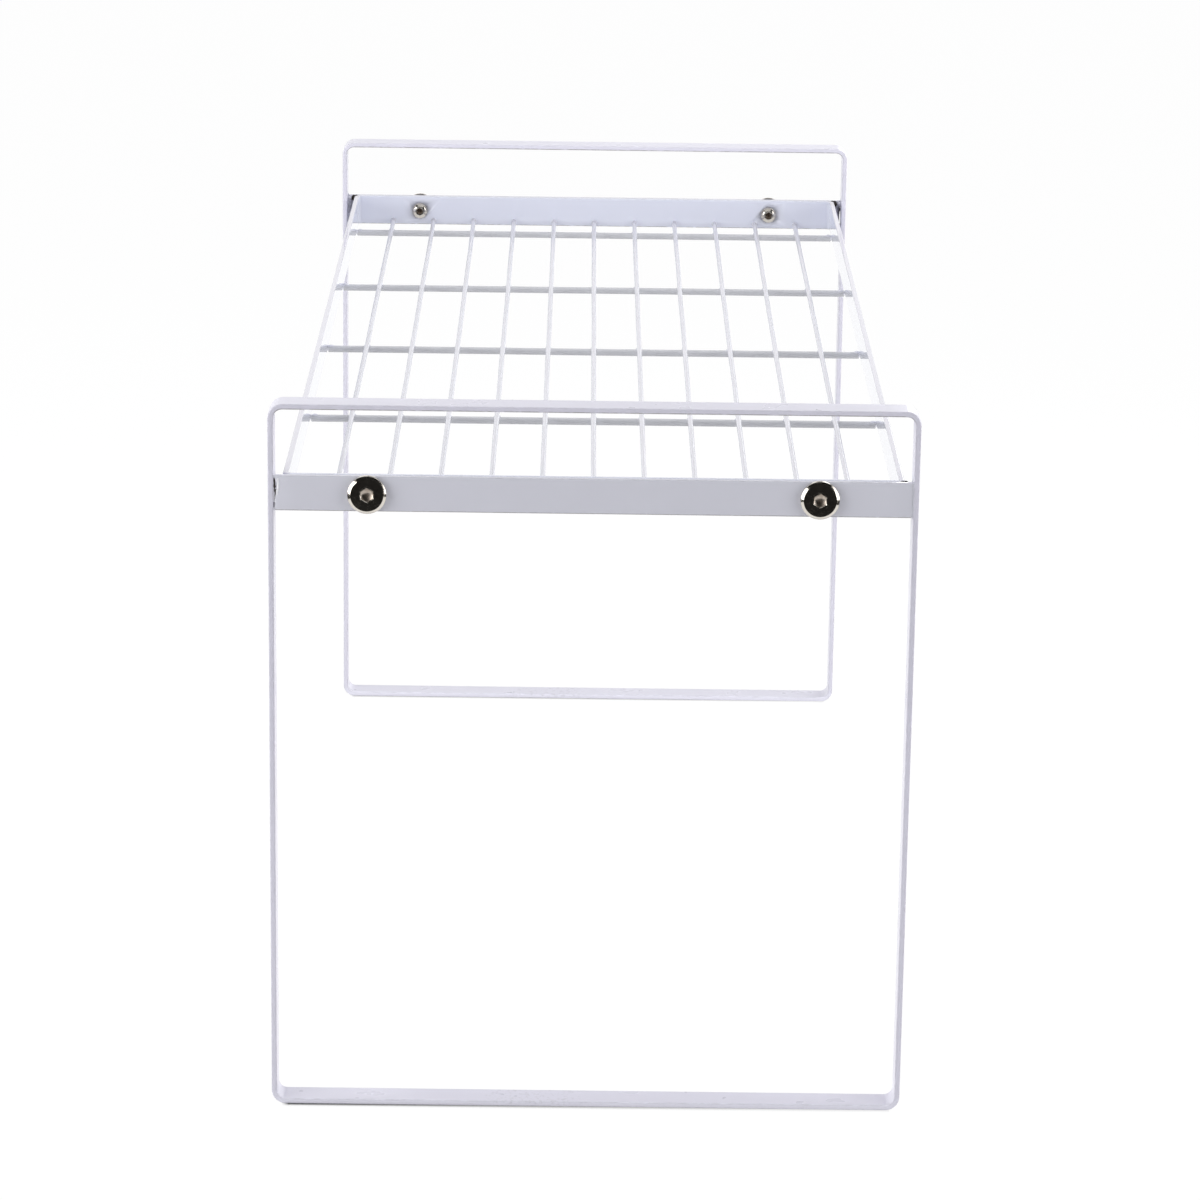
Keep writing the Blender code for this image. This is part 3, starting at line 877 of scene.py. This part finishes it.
def addLump(points, faces, weights, place, size, seed, lumps, look=weldLook):
    # an uneven round lump, added to the lists of one mesh
    least, change, atPoles = look["thinCoat"]
    around, rise = look["around"], look["rise"]
    first = len(points)
    for end in bothEnds:
        points.append((place[0], place[1], place[2] + end * size[2]))
        weights.append(atPoles)
    for level in range(1, rise):
        tilt = math.pi * level / rise
        girth = math.sin(tilt)
        for index in range(around):
            angle = 2 * math.pi * index / around
            ray = Vector((girth * math.cos(angle), girth * math.sin(angle), -math.cos(tilt)))
            swell = 1 + lumps * noise.noise(ray * 1.7 + Vector((seed * 2.3, seed * 1.1, seed * 0.7)))
            points.append(tuple(place[k] + ray[k] * size[k] * swell for k in range(3)))
            weights.append(least + change * abs(noise.noise(ray * 3 + Vector((seed, 0, 0)))))
    faces += stitchToPoles(rowsOf(points, around, first + 2), first, first + 1)


def makeWelds(name, places, kind, seed, coat=weldCoat):
    size, lumps = kind
    points, faces, weights = [], [], []
    for index, (place, stretch) in enumerate(places):
        own = tuple(size[k] * stretch[k] for k in range(3))
        addLump(points, faces, weights, place, own, seed + index, lumps)
    coatedPiece(name, points, faces, coat, sharp=60, edge=weights)


def varied(index, amount):
    return tuple(1 + amount * math.sin(index * step + 1) for step in (2.3, 3.7, 5.1))


def makeDeckWelds(look):
    crossings, wireEnds, rodEnds, cusps = [], [], [], []
    amount, wireReach, rodReach = look["variation"], wireLook["reach"], rodLook["reach"]
    for row, rod in enumerate(rodPlaces):
        for column, wire in enumerate(wirePlaces):
            spot = (wire.x, rod.y, rod.z + rodLook["radius"] + look["crossingRise"])
            crossings.append((spot, varied(row * len(wirePlaces) + column, amount)))
    for index, wire in enumerate(wirePlaces):
        for end in bothEnds:
            spot = (wire.x, end * (wireReach - look["wireEndInset"]), wire.z - look["wireEndDrop"])
            wireEnds.append((spot, varied(index * 2 + end, amount)))
    for index, rod in enumerate(rodPlaces):
        for end in bothEnds:
            spot = (end * (rodReach - look["rodEndInset"]), rod.y, rod.z + look["rodEndRise"])
            rodEnds.append((spot, varied(index * 2 + end, amount)))
            # a small peak of weld on top of each rod, just inside the frame
            away = look["cuspInset"] + look["cuspScatter"] * math.sin(index * 2.1 + end)
            spot = (end * (rodReach - away), rod.y, rod.z + look["cuspRise"])
            cusps.append((spot, varied(index * 2 + end, look["cuspVariation"])))
    makeWelds("crossingWelds", crossings, look["crossing"], 100)
    makeWelds("wireEndWelds", wireEnds, look["wireEnd"], 200)
    makeWelds("rodEndWelds", rodEnds, look["rodEnd"], 300)
    makeWelds("rodCuspWelds", cusps, look["cusp"], 500)


def makePlateWelds(look):
    # a bead up each inside corner between plate and leg; one end of a plate is filled, the other only tacked
    middle, height = barLook["middle"], barLook["height"]
    fromLeg, behindPlate = look["beadPlace"]
    travel = look["beadLength"] - 2 * look["bead"][0][0]
    beads, ridges = [], []
    for direction in bothEnds:
        inner = direction * (abs(plateFace) - plateLook["thickness"])
        outer = direction * (abs(plateFace) - look["outerDepth"])
        filled = -direction
        for side in bothEnds:
            for index in range(look["beads"]):
                share = index / (look["beads"] - 1) - 0.5
                if side == filled or abs(share) >= look["tackShare"]:  # open between the tacks
                    beads.append(((side * (legInside - fromLeg), inner - direction * behindPlate,
                                   middle + share * travel), plainSize))
        for index in range(look["fills"]):
            rise = (index / (look["fills"] - 1) - 0.5) * (height - look["fillMargin"])
            beads.append(((filled * (legInside - look["fillInset"]), outer, middle + rise), look["fill"]))
        for end in bothEnds:
            rise = end / 2 * (height - look["tackMargin"])
            beads.append(((-filled * (legInside - look["tackInset"]), outer, middle + rise), look["tack"]))
        # ridges along the tacked end, under the coat that paints a highlight
        for rise, inset in look["ridgeSpots"]:
            spot = (-filled * (legInside - inset), outer + direction * look["ridgeOut"], middle + rise)
            ridges.append((spot, plainSize))
    makeWelds("plateWelds", beads, look["bead"], 400)
    makeWelds("plateRidges", ridges, look["ridge"], 440, highlightRidgeCoat)


makeDeckWelds(weldLook)
makePlateWelds(plateWeldLook)
print("welds made")


# dark fillers that paint shade: near black lumps in the open slit and in the wedges beside the frame's
# corners

seamLook = {
    # painted shade: near black, with a warmer dark in places
    "color": (0.022, 0.020, 0.020, 1), "warmShade": (0.060, 0.040, 0.032, 1), "roughness": (0.55, 0.80),
    "film": (0.3, 0.5, 0.9), "grain": (0.5, 0.15, 0.5), "grainDepth": 0.03,
    "slitPlace": (0.80, 0.72), "slitDepth": 0.40, "slitLumps": 0.1,  # in from the leg, behind the face
    "slit": ((3.4, 0.80, 1.3), (2.0, 0.86, 1.3), (0.6, 0.66, 1.3), (-0.8, 0.52, 1.3), (-2.1, 0.50, 1.3),
             (-3.4, 0.50, 1.3), (-4.4, 0.46, 1.0)),  # rise, half width, half height
    "wedge": ((-0.7, 0.40, (0.95, 0.30, 1.0)), (0.2, 0.70, (1.05, 0.50, 1.3))),  # along, behind, size
    "wedgeRise": 0.16, "wedgeLumps": 0.04,
}


# a near black finish that stands in for the shade in the slit and the wedges
def makeShadeFillerFinish(look):
    material, tree, shader = startMaterial("shadeFiller")
    film = placeGroup(tree, tarnish, *look["film"])["Mask"]
    grain = placeGroup(tree, orangePeel, *look["grain"])["Height"]
    shade = mixColor(tree, film, look["color"], look["warmShade"])
    gloss = mapNode(tree, grain, noiseSpan, look["roughness"])
    normal = addBump(tree, grain, look["grainDepth"])
    feed(tree, shader.inputs, {"Base Color": shade, "Roughness": gloss, "Normal": normal})
    return material


def makeShadeFillers(look):
    points, faces, weights = [], [], []
    fromLeg, belowFace = look["slitPlace"]
    barTop = barLook["middle"] + barLook["height"] / 2
    for direction in bothEnds:
        for index, (rise, wide, tall) in enumerate(look["slit"]):
            place = (direction * (legInside - fromLeg), direction * (abs(plateFace) - belowFace),
                     barLook["middle"] + rise)
            size = (wide, look["slitDepth"], tall)
            addLump(points, faces, weights, place, size, 600 + index, look["slitLumps"])
        for side in bothEnds if direction > 0 else (1,):  # at the front only the right corner shows one
            for along, behind, size in look["wedge"]:
                place = (side * (frameLook["halfWidth"] + along),
                         direction * (abs(plateFace) - plateLook["thickness"] - behind),
                         barTop + look["wedgeRise"] - size[2])
                addLump(points, faces, weights, place, size, 620 + side, look["wedgeLumps"])
    coatedPiece("shadeFillers", points, faces, makeShadeFillerFinish(look), sharp=60)


# the slit and the corner wedges filled with painted shade
makeShadeFillers(seamLook)
print("bare seams made")


# sleeve nuts and button screws; each stands on its own Z, with the head's top up

nutLook = {
    "piece": "Nut", "node": "sleeve_nut", "sides": 96, "seat": 0.3,
    "head": 6.0, "top": 1.8, "bevel": (0.92, 0.70), "faceFall": 0.02,
    "socket": 3.8, "socketDepth": 0.8, "flatShare": 0.8,
    "barrel": 2.5, "barrelLength": 3.7, "bore": 1.8, "boreDepth": 2.9,
    "turns": {"front_left": 3, "front_right": -4, "back_left": 11, "back_right": 26},
}
screwLook = {
    "piece": "Screw", "node": "button_screw", "sides": 72, "seat": 0.3,
    "head": 3.1, "top": 2.0, "rim": 0.35, "domeSteps": 10,
    "socket": 2.5, "socketDepth": 1.2, "flatShare": 0.66,  # the flat is wider than the socket's corners
    "shank": 1.5, "shankLength": 3.1,
    "turns": {"front_left": 14, "front_right": 33, "back_left": 2, "back_right": -3},
}
socketLook = {"flare": 0.20, "flareDepth": 0.20, "coneDepth": 1.20}
turnedLook = {"cornerRadius": 0.07, "cornerSteps": 3, "bevel": 0.05, "bevelAngle": 42, "sharpAngle": 32}


def softened(profile, look=turnedLook):
    # rounds each corner of a turned profile a little
    result = [profile[0]]
    for before, here, after in zip(profile, profile[1:], profile[2:]):
        here = Vector(here)
        inward, outward = Vector(before) - here, Vector(after) - here
        cut = min(look["cornerRadius"], inward.length * 0.4, outward.length * 0.4)
        start, end = here + inward.normalized() * cut, here + outward.normalized() * cut
        for step in range(look["cornerSteps"] + 1):
            t = step / look["cornerSteps"]
            result.append(tuple(start * (1 - t) ** 2 + here * 2 * t * (1 - t) + end * t ** 2))
    return result + [profile[-1]]


def turnProfile(profile, sides):
    # profile runs from the axis out and back to the axis, as (radius, height)
    points = [(0, 0, profile[0][1])]
    for radius, height in profile[1:-1]:
        for index in range(sides):
            angle = 2 * math.pi * index / sides
            points.append((radius * math.cos(angle), radius * math.sin(angle), height))
    rows = rowsOf(points, sides, 1)
    points.append((0, 0, profile[-1][1]))
    return points, stitchToPoles(rows, 0, len(points) - 1)


def hexCutter(look, turn):
    # a six-sided hole with a pointed floor, a little wider at its mouth
    corner = look["socket"] / 2 / math.cos(math.pi / 6)
    flare, sink = socketLook["flare"], socketLook["flareDepth"]
    mouth, floor = look["top"], look["top"] - look["socketDepth"]
    angles = [math.pi / 2 + math.radians(turn) + k * math.pi / 3 for k in range(6)]
    levels = ((corner, floor), (corner, mouth - sink), (corner + flare, mouth),
              (corner + 3 * flare, mouth + 2 * sink))
    points = [(size * math.cos(a), size * math.sin(a), height) for size, height in levels for a in angles]
    rows = rowsOf(points, 6)
    tip = len(points)
    points.append((0, 0, floor - socketLook["coneDepth"]))
    faces = stitch(rows) + [((k + 1) % 6, k, tip) for k in range(6)] + [tuple(rows[-1])]
    return plainMesh("hexCutter", points, faces)


def nutProfile(look):
    head, top, barrel, bore = look["head"], look["top"], look["barrel"], look["bore"]
    wide, deep = look["bevel"]
    seat, tip = -look["seat"], -look["barrelLength"]
    return [(0, top), (look["socket"] * look["flatShare"], top), (head - wide, top - look["faceFall"]),
            (head, top - deep), (head, seat), (barrel, seat), (barrel, tip), (bore, tip),
            (bore, look["boreDepth"] + tip), (0, look["boreDepth"] + tip)]


def screwProfile(look):
    head, rim, shank, steps = look["head"], look["rim"], look["shank"], look["domeSteps"]
    rise = look["top"] - rim
    flat = look["socket"] * look["flatShare"]
    steepest = math.acos(flat / head)
    dome = []
    for step in range(1, steps + 1):
        angle = steepest * (1 - step / steps)
        dome.append((head * math.cos(angle), rim + rise * math.sin(angle)))
    flatHeight = rim + rise * math.sin(steepest)
    seat, tip = -look["seat"], -look["shankLength"]
    return [(0, flatHeight), (flat, flatHeight), *dome, (head, seat), (shank, seat), (shank, tip), (0, tip)]


def makeFastener(end, side, look, profile, material, zeroDepth, headOut):
    # zeroDepth is how far the piece's own zero lies inward of its outer end
    spot = f"{end}_{side}"
    node = f"{spot}_{look['node']}"
    name = end + side.capitalize() + look["piece"]
    inward = 1 if end == "front" else -1
    low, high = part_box(node)
    outerEnd = (low.y if end == "front" else high.y) / mm
    nutLow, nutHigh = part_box(f"{spot}_{nutLook['node']}")  # the screw lies on the nut's axis
    place = ((nutLow.x + nutHigh.x) / 2 / mm, outerEnd + inward * zeroDepth, (nutLow.z + nutHigh.z) / 2 / mm)
    points, faces = turnProfile(softened(profile), look["sides"])
    piece = addObject(name, solidMesh(name, points, faces, material))
    applyCut(piece, hexCutter(look, look["turns"][spot]))
    reshape(piece, "BEVEL", width=turnedLook["bevel"] * mm, segments=2, limit_method="ANGLE",
            angle_limit=math.radians(turnedLook["bevelAngle"]))
    hidden = []
    for vertex in piece.data.vertices:
        away = math.hypot(vertex.co.x, vertex.co.y) / mm
        below = (look["top"] - vertex.co.z / mm - socketLook["flareDepth"]) / look["socketDepth"]
        inSocket = away < look["socket"] * 0.6  # just past the socket's corners
        hidden.append(max(0.0, min(1.0, below)) if inSocket else 0.0)
    finishMesh(piece.data, {"hidden": hidden}, turnedLook["sharpAngle"])
    piece.location = Vector(place) * mm
    piece.rotation_euler = ((inward if headOut else -inward) * math.pi / 2, 0, 0)
    ridePiece(piece, node)


for end in ("front", "back"):
    for side in ("left", "right"):
        makeFastener(end, side, nutLook, nutProfile(nutLook), nutNickel, nutLook["top"], headOut=True)
        makeFastener(end, side, screwLook, screwProfile(screwLook), screwNickel, screwLook["shankLength"],
                     headOut=False)
print("fasteners made")
